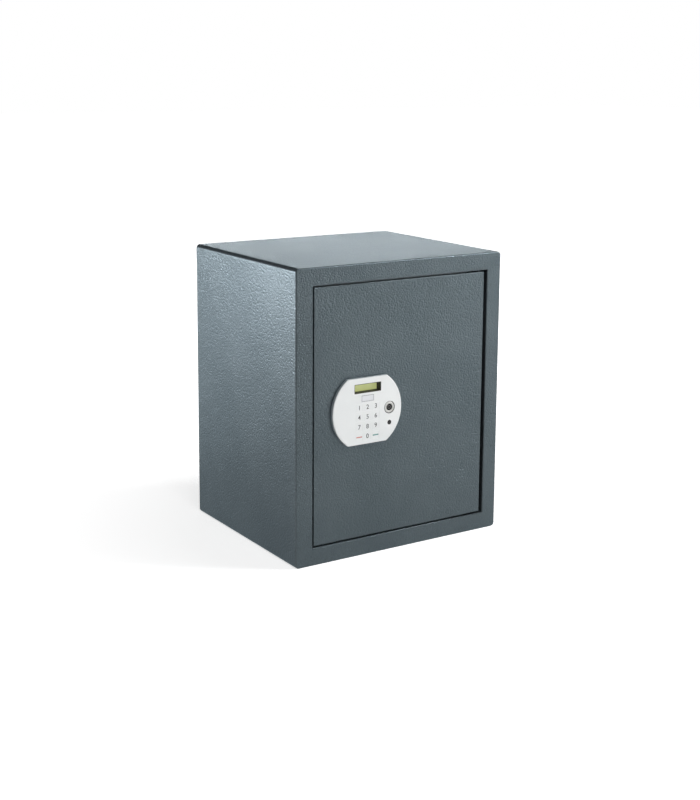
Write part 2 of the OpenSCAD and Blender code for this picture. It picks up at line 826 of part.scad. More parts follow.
// Battery tray under the cover, cells side by side
module battery_tray() color([0.1, 0.1, 0.1])
    difference() {
        block([tray_left - tray_wall, tray_floor_y, tray_low - tray_wall],
            [tray_left + tray_w + tray_wall, cover_y, tray_low + tray_h + tray_wall]);
        block([tray_left, tray_floor_y + tray_wall, tray_low],
            [tray_left + tray_w, cover_y + cut, tray_low + tray_h]);
    }

nub_l = 1.5;
nub_r = 2.6;
module batteries() color([0.16, 0.3, 0.24])
    for (k = [0:cells - 1]) {
        z = tray_low + 0.5 + cell_step * (k + 0.5);
        y = tray_floor_y + tray_wall + cell_d / 2;
        x = tray_left + (tray_w - cell_l) / 2;
        flip = k % 2;
        bar_x(y, z, x + flip * nub_l, x + cell_l - (1 - flip) * nub_l, cell_d / 2);
        bar_x(y, z, flip == 0 ? x + nub_l : x, flip == 0 ? x + cell_l : x + cell_l - nub_l, nub_r);
    }

// Cover of the lock case, its screws, and the sliding cover over the batteries
hatch_left = tray_left - hatch_over;
hatch_right = tray_left + tray_w + hatch_over;
hatch_low = tray_low - hatch_over;
hatch_high = tray_low + tray_h + hatch_over;
module inner_cover() color([0.33, 0.37, 0.39])
    difference() {
        union() {
            block([case_left - cover_gap - case_t, cover_y, case_low - cover_gap - case_t],
                [case_right + cover_gap + case_t, case_back_y, case_high + cover_gap + case_t]);
            difference() {
                block([case_left - cover_gap - case_t, cover_y - cover_lip, case_low - cover_gap - case_t],
                    [case_right + cover_gap + case_t, case_back_y, case_high + cover_gap + case_t]);
                block([case_left - cover_gap, cover_y - cover_lip - cut, case_low - cover_gap],
                    [case_right + cover_gap, cover_y, case_high + cover_gap]);
            }
            for (side = [0, 1])
                translate([side * (hatch_right + slide_gap) + (1 - side) * (hatch_left - slide_gap), 0, 0])
                mirror([side == 0 ? 1 : 0, 0, 0])
                hatch_rail();
        }
        block([tray_left, cover_y - cut, tray_low],
            [tray_left + tray_w, case_back_y + cut, tray_low + tray_h]);
        for (x = post_x, z = post_z)
            bar_y(x, z, cover_y - cut, case_back_y + cut, screw_r + thread_gap);
    }

// An L-shaped rail that hooks over the edge of the sliding cover, as long as the cover's way down
module hatch_rail() {
    hook_y = case_back_y + hatch_t + slide_gap;
    low = hatch_low - hatch_travel;
    block([0, case_back_y - case_t / 2, low], [rail_h, hook_y + hook_t, hatch_high]);
    block([-hatch_hook, hook_y, low], [rail_h, hook_y + hook_t, hatch_high]);
}
hook_t = 1.2;
hatch_hook = 1.5;

slot_l = 3.6;
slot_w = 0.8;
module cover_screws() color([0.75, 0.75, 0.75])
    for (x = post_x, z = post_z) {
        bar_y(x, z, case_back_y - cover_screw_l, case_back_y + head_h / 2, screw_r);
        difference() {
            bar_y(x, z, case_back_y, case_back_y + head_h, head_r);
            for (turn = [0, 90])
                translate([x, case_back_y + head_h / 2, z])
                rotate([0, turn, 0])
                block([-slot_l / 2, 0, -slot_w / 2], [slot_l / 2, head_h, slot_w / 2]);
        }
    }

// Ribs to pull the battery cover down by
grip_ribs = 4;
grip_pitch = 3;
grip_up = 8;
grip_in = 18;
grip_h = 1;
module battery_cover() color([0.12, 0.12, 0.12]) {
    y = case_back_y + slide_gap / 2;
    block([hatch_left, y, hatch_low], [hatch_right, y + hatch_t, hatch_high]);
    for (k = [0:grip_ribs - 1]) {
        z = hatch_low + grip_up + grip_pitch * k;
        block([hatch_left + grip_in, y + hatch_t, z],
            [hatch_right - grip_in, y + hatch_t + grip_h, z + grip_pitch / 2]);
    }
}

// Leads inside the case, from connector to connector
module lead(points, r) {
    for (k = [0:len(points) - 2]) {
        run = points[k + 1] - points[k];
        length = norm(run);
        translate(points[k])
        rotate([0, acos(run[2] / length), atan2(run[1], run[0])])
        cylinder(h = length, r = r);
    }
    for (k = [1:len(points) - 2])
        translate(points[k])
        sphere(r = r + bend_bulge);
}

lead_r = 1.4;
bend_bulge = 0.1;
plug_gap = 0.3;
lead_way = 6;
module wire_harness() color([0.5, 0.1, 0.1]) {
    lead_y = board_y + board_t + socket_h / 2;
    lead_x = socket_x + socket_l / 2;
    side_z = side_socket_z + socket_l / 2;
    tray_z = max(board_high + lead_way, tray_low + 2 * lead_way);
    motor_lead_y = motor_y + motor_l / 2;
    lead([[lead_x, lead_y, board_low + socket_in - plug_gap],
        [lead_x, lead_y, board_low - lead_way],
        [lead_x - 2 * lead_way, motor_lead_y, motor_z],
        [gear_x + motor_r + plug_gap, motor_lead_y, motor_z]], lead_r);
    lead([[lead_x, lead_y, board_high - socket_in + plug_gap],
        [lead_x, lead_y, tray_z],
        [lead_x, tray_floor_y - plug_gap, tray_z]], lead_r);
    lead([[board_left + socket_in - plug_gap, lead_y, side_z],
        [cable_x, lead_y, side_z],
        [cable_x, lead_y, cable_z],
        [cable_x, door_face_y + plug_gap, cable_z]], lead_r);
}

// Keypad panel: a thin shell, round with two flats
reader_body_r = 7;
module panel_outline(inset)
    intersection() {
        translate([panel_x, panel_z])
        circle(r = panel_d / 2 - inset, $fn = 128);
        rect(panel_x - panel_d, panel_x + panel_d,
            panel_z - panel_flat_h / 2 + inset, panel_z + panel_flat_h / 2 - inset);
    }

module panel_solid()
    intersection() {
        translate([panel_x, door_face_y, panel_z])
        rotate([90, 0, 0])
        rotate_extrude($fn = 128)
        union() {
            square([panel_d / 2 - panel_edge_r, panel_t]);
            square([panel_d / 2, panel_t - panel_edge_r]);
            translate([panel_d / 2 - panel_edge_r, panel_t - panel_edge_r])
            circle(r = panel_edge_r);
        }
        block([panel_x - panel_d, panel_face_y - cut, panel_z - panel_flat_h / 2],
            [panel_x + panel_d, door_face_y, panel_z + panel_flat_h / 2]);
    }

function key_x(column) = panel_x + (column - 1) * key_pitch_x;
function key_z(row) = panel_z + key_row_up - row * key_pitch_z;

module panel_housing() color([0.93, 0.94, 0.94])
    difference() {
        union() {
            difference() {
                panel_solid();
                along_y(skin_y, door_face_y + cut)
                panel_outline(panel_wall);
            }
            for (x = [-boss_x, boss_x], z = [-boss_z, boss_z])
                bar_y(panel_x + x, panel_z + z, skin_y - panel_wall / 2, door_face_y, boss_r);
        }
        block([panel_x - display_w / 2, panel_face_y - cut, display_z - display_h / 2],
            [panel_x + display_w / 2, door_face_y, display_z + display_h / 2]);
        for (column = [0:2], row = [0:3])
            translate([key_x(column), 0, key_z(row)])
            block([-key_w / 2 - key_gap, panel_face_y - cut, -key_h / 2 - key_gap],
                [key_w / 2 + key_gap, skin_y + cut / 2, key_h / 2 + key_gap]);
        bar_y(reader_x, panel_z, panel_face_y - cut, door_face_y, reader_d / 2);
        bar_y(reader_x, window_z, panel_face_y - cut, door_face_y, window_d / 2);
        block([panel_x - badge_w / 2, panel_face_y - cut, panel_z + badge_up - badge_h / 2],
            [panel_x + badge_w / 2, panel_face_y + badge_t, panel_z + badge_up + badge_h / 2]);
        for (x = [-boss_x, boss_x], z = [-boss_z, boss_z])
            bar_y(panel_x + x, panel_z + z, skin_y + 0.4, door_face_y + cut, screw_r + thread_gap);
    }

module panel_screws() color([0.6, 0.6, 0.6])
    for (x = [-boss_x, boss_x], z = [-boss_z, boss_z]) {
        bar_y(panel_x + x, panel_z + z, skin_y + 0.6, floor_y + cut, screw_r);
        bar_y(panel_x + x, panel_z + z, floor_y, floor_y + 1.8, screw_r + 1.4);
    }

badge_t = 0.6;
module badge_plate() color([0.86, 0.87, 0.88])
    block([panel_x - badge_w / 2 + 0.1, panel_face_y, panel_z + badge_up - badge_h / 2 + 0.1],
        [panel_x + badge_w / 2 - 0.1, panel_face_y + badge_t, panel_z + badge_up + badge_h / 2 - 0.1]);

// The dark insert goes from the panel face through the door and seats the display behind it
module display_frame() color([0.2, 0.2, 0.2])
    difference() {
        union() {
            block([panel_x - display_w / 2, panel_face_y, display_z - display_h / 2],
                [panel_x + display_w / 2, display_y, display_z + display_h / 2]);
            block([panel_x - display_w / 2 - 3, floor_y, display_z - display_h / 2 - 3],
                [panel_x + display_w / 2 + 3, display_y, display_z + display_h / 2 + 3]);
        }
        x = display_w / 2 - display_wall;
        z = display_h / 2 - display_wall;
        block([panel_x - x, panel_face_y - cut, display_z - z],
            [panel_x + x, display_y + cut, display_z + z]);
    }

module display_lcd() color([0.72, 0.74, 0.5])
    block([panel_x - display_w / 2 - 3, display_y, display_z - display_h / 2 - 3],
        [panel_x + display_w / 2 + 3, display_y + 2.8, display_z + display_h / 2 + 3]);

keypad_board_t = 1.2;
dome_h = 0.35;
board_margin = 2;
keypad_board_y = door_face_y - keypad_board_t;
module keypad_board() color([0.1, 0.36, 0.22])
    block([key_x(0) - key_w / 2 - board_margin, keypad_board_y, key_z(3) - key_h / 2 - board_margin],
        [key_x(2) + key_w / 2 + board_margin, door_face_y, key_z(0) + key_h / 2 + board_margin]);

module key_domes() color([0.78, 0.78, 0.76])
    for (column = [0:2], row = [0:3])
        bar_y(key_x(column), key_z(row), keypad_board_y - dome_h, keypad_board_y, 3);

// A key: the cap shows, the flange behind the panel skin keeps it in, the stem meets the dome
key_flange_t = 1;
dome_gap = 0.1;
module key_cap(column, row)
    translate([key_x(column), 0, key_z(row)]) {
        block([-key_w / 2, panel_face_y, -key_h / 2], [key_w / 2, skin_y + key_flange_t, key_h / 2]);
        block([-key_w / 2 - key_flange, skin_y, -key_h / 2 - key_flange],
            [key_w / 2 + key_flange, skin_y + key_flange_t, key_h / 2 + key_flange]);
        bar_y(0, 0, skin_y + key_flange_t / 2, keypad_board_y - dome_h - key_travel - dome_gap, 2);
    }

key_grey = [0.91, 0.92, 0.92];
module key_1() color(key_grey) key_cap(0, 0);
module key_2() color(key_grey) key_cap(1, 0);
module key_3() color(key_grey) key_cap(2, 0);
module key_4() color(key_grey) key_cap(0, 1);
module key_5() color(key_grey) key_cap(1, 1);
module key_6() color(key_grey) key_cap(2, 1);
module key_7() color(key_grey) key_cap(0, 2);
module key_8() color(key_grey) key_cap(1, 2);
module key_9() color(key_grey) key_cap(2, 2);
module key_cancel() color(key_grey) key_cap(0, 3);
module key_0() color(key_grey) key_cap(1, 3);
module key_enter() color(key_grey) key_cap(2, 3);

// Reader for an electronic key: a metal ring round a dark disc with a middle contact
ring_groove = 1.2;
ring_well = 2.2;
module reader_ring() color([0.78, 0.78, 0.78])
    difference() {
        union() {
            bar_y(reader_x, panel_z, panel_face_y, door_face_y, reader_d / 2);
            bar_y(reader_x, panel_z, door_face_y - cut, floor_y + 3, reader_body_r);
        }
        bar_y(reader_x, panel_z, panel_face_y - cut, panel_face_y + ring_well, disc_d / 2);
        difference() {
            bar_y(reader_x, panel_z, panel_face_y - cut, panel_face_y + 0.4, reader_d / 2 - ring_groove);
            bar_y(reader_x, panel_z, panel_face_y - 2 * cut, panel_face_y + cut, disc_d / 2 + 1.6);
        }
    }

module reader_disc() color([0.07, 0.07, 0.07]) {
    bar_y(reader_x, panel_z, panel_face_y + ring_well - 1, panel_face_y + ring_well,
        disc_d / 2 - thread_gap);
    bar_y(reader_x, panel_z, panel_face_y + ring_well - 1.4, panel_face_y + ring_well, 1.3);
}

// Smoked window over the status light
module status_window() color([0.05, 0.05, 0.05])
    bar_y(reader_x, window_z, panel_face_y, floor_y + 3, window_d / 2);

body_shell();
door_frame();
back_panel();
stop_frame();
hinge_brackets();
hinge_bushes();
hinge_washers();
stop_bumpers();
shelf();
shelf_supports();
floor_mat();
door_plate();
door_ribs();
hinge_stile();
hinge_blocks();
hinge_pins();
lock_case();
cover_posts();
bolt_guides();
carriage_studs();
gear_pivot();
gear_motor();
motor_bracket();
main_board();
board_posts();
battery_tray();
batteries();
inner_cover();
cover_screws();
wire_harness();
panel_housing();
panel_screws();
display_frame();
display_lcd();
keypad_board();
key_domes();
reader_ring();
reader_disc();
status_window();
badge_plate();
bolt_carriage();
gear_rack();
locking_bolts();
bolt_screws();
reduction_gear();
motor_pinion();
battery_cover();
key_1();
key_2();
key_3();
key_4();
key_5();
key_6();
key_7();
key_8();
key_9();
key_cancel();
key_0();
key_enter();
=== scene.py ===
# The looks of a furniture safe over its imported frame. Metres, in the frame's own axes:
# X runs to the right, Y to the back, Z up. The sections follow the safe as it is put together.
import math
import bmesh
import bpy
from mathutils import Matrix, Vector


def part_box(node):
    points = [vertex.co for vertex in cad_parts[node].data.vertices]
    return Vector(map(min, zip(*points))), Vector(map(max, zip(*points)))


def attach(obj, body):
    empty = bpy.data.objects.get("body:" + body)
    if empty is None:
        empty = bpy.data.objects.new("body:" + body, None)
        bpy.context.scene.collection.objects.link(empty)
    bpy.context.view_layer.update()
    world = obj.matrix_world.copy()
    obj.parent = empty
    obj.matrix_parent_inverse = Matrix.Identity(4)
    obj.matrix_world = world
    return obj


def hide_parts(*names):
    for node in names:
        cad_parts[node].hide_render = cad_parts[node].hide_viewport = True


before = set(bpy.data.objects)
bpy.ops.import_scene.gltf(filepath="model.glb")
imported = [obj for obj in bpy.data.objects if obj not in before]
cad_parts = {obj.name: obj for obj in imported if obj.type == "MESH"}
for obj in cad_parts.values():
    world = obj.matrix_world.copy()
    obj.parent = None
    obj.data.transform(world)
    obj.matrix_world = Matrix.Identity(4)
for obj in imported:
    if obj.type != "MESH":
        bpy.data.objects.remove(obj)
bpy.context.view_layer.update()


# Cabinet: walls and front flange bent from one 2 mm sheet, with the inner wall of the door frame
# and the back panel welded in. The powder coat is dark blue-grey with a hammered grain, deepest
# on the front, where it is thickest, and shallower on the walls. Inside, the walls take a flat,
# non-metallic grey in place of the same coat: painted light that makes the unlit inside read
# lighter.
def paint(red, green, blue):
    """A colour as a paint chart gives it, 0 to 255, turned into light."""
    parts = [tone / 255 for tone in (red, green, blue)]
    light = [tone / 12.92 if tone < 0.04045 else ((tone + 0.055) / 1.055) ** 2.4 for tone in parts]
    return (*light, 1)


def wire(tree, source, outlet, target, inlet):
    tree.links.new(source.outputs[outlet], target.inputs[inlet])


def grain_group():
    """Small domes, close together, as a sprayed or moulded surface has them."""
    tree = bpy.data.node_groups.new("grain", "ShaderNodeTree")
    tree.interface.new_socket("Place", in_out="INPUT", socket_type="NodeSocketVector")
    tree.interface.new_socket("Bumps per metre", in_out="INPUT", socket_type="NodeSocketFloat")
    tree.interface.new_socket("Height", in_out="OUTPUT", socket_type="NodeSocketFloat")
    tree.interface.new_socket("Shade", in_out="OUTPUT", socket_type="NodeSocketFloat")
    enter = tree.nodes.new("NodeGroupInput")
    leave = tree.nodes.new("NodeGroupOutput")
    drops = tree.nodes.new("ShaderNodeTexVoronoi")
    drops.feature = "SMOOTH_F1"
    drops.inputs["Smoothness"].default_value = 0.25
    wire(tree, enter, "Place", drops, "Vector")
    wire(tree, enter, "Bumps per metre", drops, "Scale")
    domes = tree.nodes.new("ShaderNodeMath")
    domes.operation = "MULTIPLY"
    wire(tree, drops, "Distance", domes, 0)
    wire(tree, drops, "Distance", domes, 1)
    ripple = tree.nodes.new("ShaderNodeTexNoise")
    ripple.inputs["Detail"].default_value = 2
    wire(tree, enter, "Place", ripple, "Vector")
    wire(tree, enter, "Bumps per metre", ripple, "Scale")
    both = tree.nodes.new("ShaderNodeMath")
    both.operation = "MULTIPLY_ADD"
    both.inputs[1].default_value = 0.5
    wire(tree, ripple, "Fac", both, 0)
    under = tree.nodes.new("ShaderNodeMath")
    under.operation = "SUBTRACT"
    under.inputs[0].default_value = 1.0
    wire(tree, domes, "Value", under, 1)
    wire(tree, under, "Value", both, 2)
    wire(tree, both, "Value", leave, "Height")
    wire(tree, ripple, "Fac", leave, "Shade")
    return tree


def cloud_group():
    """Slow changes over a surface, from the spray, the mould or the handling."""
    tree = bpy.data.node_groups.new("cloud", "ShaderNodeTree")
    tree.interface.new_socket("Place", in_out="INPUT", socket_type="NodeSocketVector")
    tree.interface.new_socket("Clouds per metre", in_out="INPUT", socket_type="NodeSocketFloat")
    tree.interface.new_socket("Mask", in_out="OUTPUT", socket_type="NodeSocketFloat")
    enter = tree.nodes.new("NodeGroupInput")
    leave = tree.nodes.new("NodeGroupOutput")
    noise = tree.nodes.new("ShaderNodeTexNoise")
    noise.inputs["Detail"].default_value = 4
    noise.inputs["Roughness"].default_value = 0.6
    wire(tree, enter, "Place", noise, "Vector")
    wire(tree, enter, "Clouds per metre", noise, "Scale")
    spread = tree.nodes.new("ShaderNodeMapRange")
    spread.interpolation_type = "SMOOTHSTEP"
    spread.inputs["From Min"].default_value = 0.3
    spread.inputs["From Max"].default_value = 0.7
    wire(tree, noise, "Fac", spread, "Value")
    wire(tree, spread, "Result", leave, "Mask")
    return tree


grain = grain_group()
cloud = cloud_group()


def surface(name, darker, lighter, bumps, depth, sheen=(0.4, 0.5), clouds=6, metal=0.0,
            stretch=(1, 1, 1), specular=0.5, speckle=0.25, rim=(1, 1, 1, 1)):
    """A material with two tones, uneven gloss and a grain of real depth in metres."""
    material = bpy.data.materials.new(name)
    material.use_nodes = True
    tree = material.node_tree
    shader = tree.nodes["Principled BSDF"]
    shader.inputs["Metallic"].default_value = metal
    shader.inputs["Specular IOR Level"].default_value = specular
    shader.inputs["Specular Tint"].default_value = rim
    place = tree.nodes.new("ShaderNodeTexCoord")
    turn = tree.nodes.new("ShaderNodeMapping")
    turn.inputs["Scale"].default_value = stretch
    wire(tree, place, "Object", turn, "Vector")
    fine = tree.nodes.new("ShaderNodeGroup")
    fine.node_tree = grain
    fine.inputs["Bumps per metre"].default_value = bumps
    wire(tree, turn, "Vector", fine, "Place")
    slow = tree.nodes.new("ShaderNodeGroup")
    slow.node_tree = cloud
    slow.inputs["Clouds per metre"].default_value = clouds
    wire(tree, turn, "Vector", slow, "Place")
    both = tree.nodes.new("ShaderNodeMix")
    both.inputs["Factor"].default_value = speckle
    wire(tree, slow, "Mask", both, "A")
    wire(tree, fine, "Shade", both, "B")
    tones = tree.nodes.new("ShaderNodeMix")
    tones.data_type = "RGBA"
    tones.inputs["A"].default_value = darker
    tones.inputs["B"].default_value = lighter
    wire(tree, both, "Result", tones, "Factor")
    wire(tree, tones, "Result", shader, "Base Color")
    gloss = tree.nodes.new("ShaderNodeMapRange")
    gloss.inputs["To Min"].default_value = sheen[0]
    gloss.inputs["To Max"].default_value = sheen[1]
    wire(tree, slow, "Mask", gloss, "Value")
    wire(tree, gloss, "Result", shader, "Roughness")
    bump = tree.nodes.new("ShaderNodeBump")
    bump.inputs["Distance"].default_value = depth
    wire(tree, fine, "Height", bump, "Height")
    wire(tree, bump, "Normal", shader, "Normal")
    return material


coat = surface("hammered_coat", paint(79, 88, 92), paint(87, 96, 100), bumps=350, depth=0.00052,
               sheen=(0.28, 0.31), metal=0.7, rim=(0.67, 0.87, 0.98, 1))
wall_coat = surface("wall_coat", paint(83, 90, 94), paint(91, 98, 102), bumps=350, depth=0.0003,
                    sheen=(0.28, 0.31), metal=0.7, rim=(0.67, 0.87, 0.98, 1))
inner_coat = surface("inner_coat", paint(80, 88, 92), paint(92, 100, 104), bumps=900,
                     depth=0.00012, sheen=(0.45, 0.55))


def copy_of(node):
    """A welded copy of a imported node, its flat faces whole again."""
    work = bmesh.new()
    work.from_mesh(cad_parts[node].data)
    bmesh.ops.remove_doubles(work, verts=work.verts, dist=0.000005)
    bmesh.ops.dissolve_limit(work, angle_limit=math.radians(1), verts=work.verts,
                             edges=work.edges)
    return work


def ease(work, width, steps, chosen=lambda middle: True):
    """Rounds the edges whose middle is chosen."""
    edges = []
    for edge in work.edges:
        middle = (edge.verts[0].co + edge.verts[1].co) / 2
        if edge.calc_face_angle(0) > math.radians(40) and chosen(middle):
            edges.append(edge)
    bmesh.ops.bevel(work, geom=edges, offset=width, segments=steps, profile=0.5,
                    affect="EDGES", material=-1, clamp_overlap=True)


def make_piece(work, name, finish, body, slot, *nodes):
    """The mesh as a finished piece on its body, in place of the nodes named."""
    mesh = bpy.data.meshes.new(name)
    work.to_mesh(mesh)
    work.free()
    mesh.shade_smooth()
    mesh.set_sharp_from_angle(angle=math.radians(35))
    mesh.materials.append(finish)
    piece = bpy.data.objects.new(name, mesh)
    bpy.context.scene.collection.objects.link(piece)
    even = piece.modifiers.new("even_normals", "WEIGHTED_NORMAL")
    even.keep_sharp = True
    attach(piece, body)
    if nodes:
        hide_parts(*nodes)
    return piece


def dress(finish, *nodes):
    """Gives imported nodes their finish."""
    for node in nodes:
        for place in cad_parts[node].material_slots:
            place.material = finish


wall_low, wall_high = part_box("body_shell")
front = wall_low.y
fold_round = 0.0028
mouth_round = 0.0018
wall_band = 0.01
hair = 0.0001  # places this near to each other count as one


def on_outer_fold(middle):
    """Whether an edge of the front flange is one that is folded from a wall."""
    return (abs(middle.x) > wall_high.x - wall_band or middle.z < wall_band
            or middle.z > wall_high.z - wall_band)


work = copy_of("body_shell")
ease(work, width=fold_round, steps=6,
     chosen=lambda middle: abs(middle.y - front) < hair and on_outer_fold(middle))
ease(work, width=mouth_round, steps=4,
     chosen=lambda middle: abs(middle.y - front) < hair and not on_outer_fold(middle))
half = wall_high.z / 2
# Inside faces take the flat grey in place of the outer coat: painted light, so the unlit inside
# reads lighter. Faces looking to the front take the front's coat.
for face in work.faces:
    middle = face.calc_center_median() - Vector((0, 0, half))
    in_wall = abs(middle.x) > wall_high.x - wall_band or abs(middle.z) > half - wall_band
    behind_flange = face.normal.y > 0.9 and middle.y < front + wall_band
    if (in_wall or behind_flange) and middle.dot(face.normal) < 0:
        face.material_index = 1
    elif face.normal.y < -0.7:
        face.material_index = 2
walls = make_piece(work, "cabinet_walls", wall_coat, "body", "powder_coat", "body_shell")
walls.data.materials.append(inner_coat)
walls.data.materials.append(coat)
dress(coat, "door_frame")

work = copy_of("back_panel")
ease(work, width=0.0008, steps=3)
# The back's inside face takes the flat grey too: painted light for the unlit inside.
for face in work.faces:
    if face.normal.y < -0.9:
        face.material_index = 1
back = make_piece(work, "cabinet_back", wall_coat, "body", "powder_coat", "back_panel")
back.data.materials.append(inner_coat)


# Stop frame: a folded angle round three sides of the opening that the door closes against,
# coated flat grey like the inside, and two rubber bumpers that take the knock.
rubber = surface("black_rubber", paint(22, 22, 22), paint(34, 34, 34), bumps=1500,
                 depth=0.00005, sheen=(0.65, 0.8), clouds=40)
dress(inner_coat, "stop_frame")
work = copy_of("stop_bumpers")
ease(work, width=0.0006, steps=4)
make_piece(work, "bumpers", rubber, "body", "black_rubber", "stop_bumpers")


# Hinge: pins of plated bar through blocks welded to the door, turning in bronze bushes that are
# pressed into brackets behind the frame, with a steel washer between them. The washer is near
# black and the bushes dark brown: painted shade so they stay dark in the gap above the door; the
# bushes' brown is partly the bronze's own.
bolt_steel = surface("turned_steel", paint(178, 178, 180), paint(206, 206, 208), bumps=900,
                     depth=0.00002, sheen=(0.28, 0.34), clouds=12, metal=1.0, stretch=(8, 1, 1))
dress(inner_coat, "hinge_brackets")
washer_painted_shade = surface("steel_painted_shade", paint(34, 34, 36), paint(46, 46, 48), bumps=900,
                  depth=0.00002, sheen=(0.4, 0.5), clouds=40, metal=0.8)
bronze = surface("bronze_partly_painted_shade", paint(74, 60, 44), paint(94, 78, 58), bumps=1200,
                 depth=0.00003, sheen=(0.35, 0.45), clouds=40, metal=0.9)
# Washer and bushes are darkened as painted shade in the door gap.
dress(washer_painted_shade, "hinge_washers")
dress(bronze, "hinge_bushes")
dress(bolt_steel, "hinge_pins")
work = copy_of("hinge_blocks")
ease(work, width=0.001, steps=3)
make_piece(work, "hinge_blocks_eased", inner_coat, "door", "inner_coat", "hinge_blocks")


# Shelf: one folded sheet that lies loose on two angles welded to the side walls. All three are
# coated flat grey like the inside.
dress(inner_coat, "shelf_supports")
work = copy_of("shelf")
ease(work, width=0.0009, steps=3)
make_piece(work, "shelf_sheet", inner_coat, "body", "inner_coat", "shelf")


# Floor mat: short needle felt, cut to the floor from a roll, with two holes for the floor
# screws. It lies loose on the bottom wall.
felt = surface("needle_felt", paint(58, 58, 60), paint(84, 84, 87), bumps=1300, depth=0.0006,
               sheen=(0.85, 0.95), clouds=25, specular=0.2, speckle=0.7)
work = copy_of("floor_mat")
ease(work, width=0.0008, steps=3)
mat = make_piece(work, "felt_mat", felt, "body", "mat", "floor_mat")


# Door: a 4 mm plate with eased edges, in the hammered coat of the front. Two hat sections and a
# stile are spot-welded on behind to stiffen it, coated flat grey.
work = copy_of("door_plate")
door_low, door_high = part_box("door_plate")
ease(work, width=0.0009, steps=3,
     chosen=lambda middle: abs(middle.x - door_low.x) < hair
     or abs(middle.x - door_high.x) < hair
     or abs(middle.z - door_low.z) < hair or abs(middle.z - door_high.z) < hair)
make_piece(work, "door_skin", coat, "door", "powder_coat", "door_plate")
dress(inner_coat, "door_ribs", "hinge_stile")


# Lock case: a folded steel tray welded to the back of the door. Its cover is held by four
# cross-slot screws that go into plated posts.
zinc = surface("zinc_plate", paint(176, 174, 164), paint(205, 203, 194), bumps=700,
               depth=0.00002, sheen=(0.28, 0.42), clouds=30, metal=1.0)
dress(inner_coat, "lock_case")
dress(zinc, "cover_posts", "cover_screws")
work = copy_of("inner_cover")
ease(work, width=0.0006, steps=2)
make_piece(work, "lock_cover", inner_coat, "door", "inner_coat", "inner_cover")


# Bolts: two turned and plated bars screwed to a zinc-plated carriage, which slides on
# shoulder studs. They leave the case through nylon guides.
nylon = surface("nylon", paint(214, 211, 198), paint(228, 225, 214), bumps=700, depth=0.00003,
                sheen=(0.4, 0.5), clouds=30)
dress(nylon, "bolt_guides")
dress(bolt_steel, "locking_bolts", "bolt_screws", "carriage_studs")
dress(zinc, "bolt_carriage")


# Gear train: a brass rack on the carriage, a nylon reduction gear on its steel pivot, and the
# motor with its brass pinion on a bent bracket.
brass = surface("brass", paint(188, 150, 82), paint(212, 178, 108), bumps=900,
                depth=0.00002, sheen=(0.28, 0.36), clouds=40, metal=1.0)
dress(brass, "gear_rack", "motor_pinion")
dress(nylon, "reduction_gear")
dress(bolt_steel, "gear_pivot")
dress(zinc, "gear_motor", "motor_bracket")


# Electronics: the lock's board on four posts, with leads to the motor, the cells and the
# keypad, and the cells side by side in a black tray behind a sliding cover.
board_green = surface("board_green", paint(18, 74, 44), paint(34, 104, 64), bumps=260,
                      depth=0.00006, sheen=(0.3, 0.42), clouds=120)
black_plastic = surface("black_plastic", paint(28, 28, 29), paint(40, 40, 41), bumps=1600,
                        depth=0.00006, sheen=(0.45, 0.6), clouds=20)
cell_wrap = surface("cell_wrap", paint(34, 66, 58), paint(48, 86, 76), bumps=500,
                    depth=0.00002, sheen=(0.3, 0.38), clouds=40)
lead_cover = surface("lead_cover", paint(120, 22, 20), paint(150, 34, 30), bumps=900,
                     depth=0.00003, sheen=(0.4, 0.5), clouds=60)
dress(board_green, "main_board", "keypad_board")
dress(zinc, "board_posts", "key_domes")
dress(black_plastic, "battery_tray")
dress(cell_wrap, "batteries")
dress(lead_cover, "wire_harness")
work = copy_of("battery_cover")
ease(work, width=0.0004, steps=2)
make_piece(work, "battery_slide", black_plastic, "battery_hatch", "black_plastic",
           "battery_cover")


# Keypad panel: a satin white face, round with a flat above and below, on a housing that is screwed
# on from inside the door. The rim's sides are painted blue-grey in place of white: painted shade,
# so the rim reads as a shaded band.
white_plastic = surface("white_plastic", paint(226, 229, 229), paint(232, 234, 234), bumps=1500,
                        depth=0.00002, sheen=(0.32, 0.4), clouds=15)
panel_low, panel_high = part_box("panel_housing")
panel_x = (panel_low.x + panel_high.x) / 2
panel_z = (panel_low.z + panel_high.z) / 2
face_y = panel_low.y
rim_painted_shade = surface("rim_painted_shade", paint(146, 156, 162), paint(158, 168, 174), bumps=1500,
                       depth=0.00003, sheen=(0.45, 0.55), clouds=15)
rim_round = 0.0009
rim_reach = 0.056
work = copy_of("panel_housing")
ease(work, width=rim_round, steps=4,
     chosen=lambda middle: abs(middle.y - face_y) < hair
     and math.hypot(middle.x - panel_x, middle.z - panel_z) > rim_reach)
# The rim's side faces take the grey: painted shade on the panel's edge, not a grey housing.
for face in work.faces:
    middle = face.calc_center_median()
    if (abs(face.normal.y) < 0.1 and middle.y > face_y + rim_round
            and math.hypot(middle.x - panel_x, middle.z - panel_z) > rim_reach):
        face.material_index = 1
panel = make_piece(work, "keypad_panel", white_plastic, "door", "white_plastic",
                   "panel_housing")
panel.data.materials.append(rim_painted_shade)
dress(zinc, "panel_screws")


# Display: a yellow-green reflective glass at the end of a dark insert that goes through the panel
# and the door plate. Its faint glow is painted light that evens out the insert's shadow on it.
# Outside its field the glass is paler.
insert_plastic = surface("insert_plastic", paint(34, 34, 32), paint(46, 46, 43), bumps=1600,
                         depth=0.00004, sheen=(0.5, 0.6), clouds=40)
glass_green = surface("display_glass", paint(136, 143, 84), paint(148, 155, 94), bumps=2500,
                      depth=0.000005, sheen=(0.12, 0.2), clouds=40)
glass_pale = surface("display_margin", paint(150, 154, 122), paint(162, 166, 134), bumps=2500,
                     depth=0.000005, sheen=(0.12, 0.2), clouds=40)
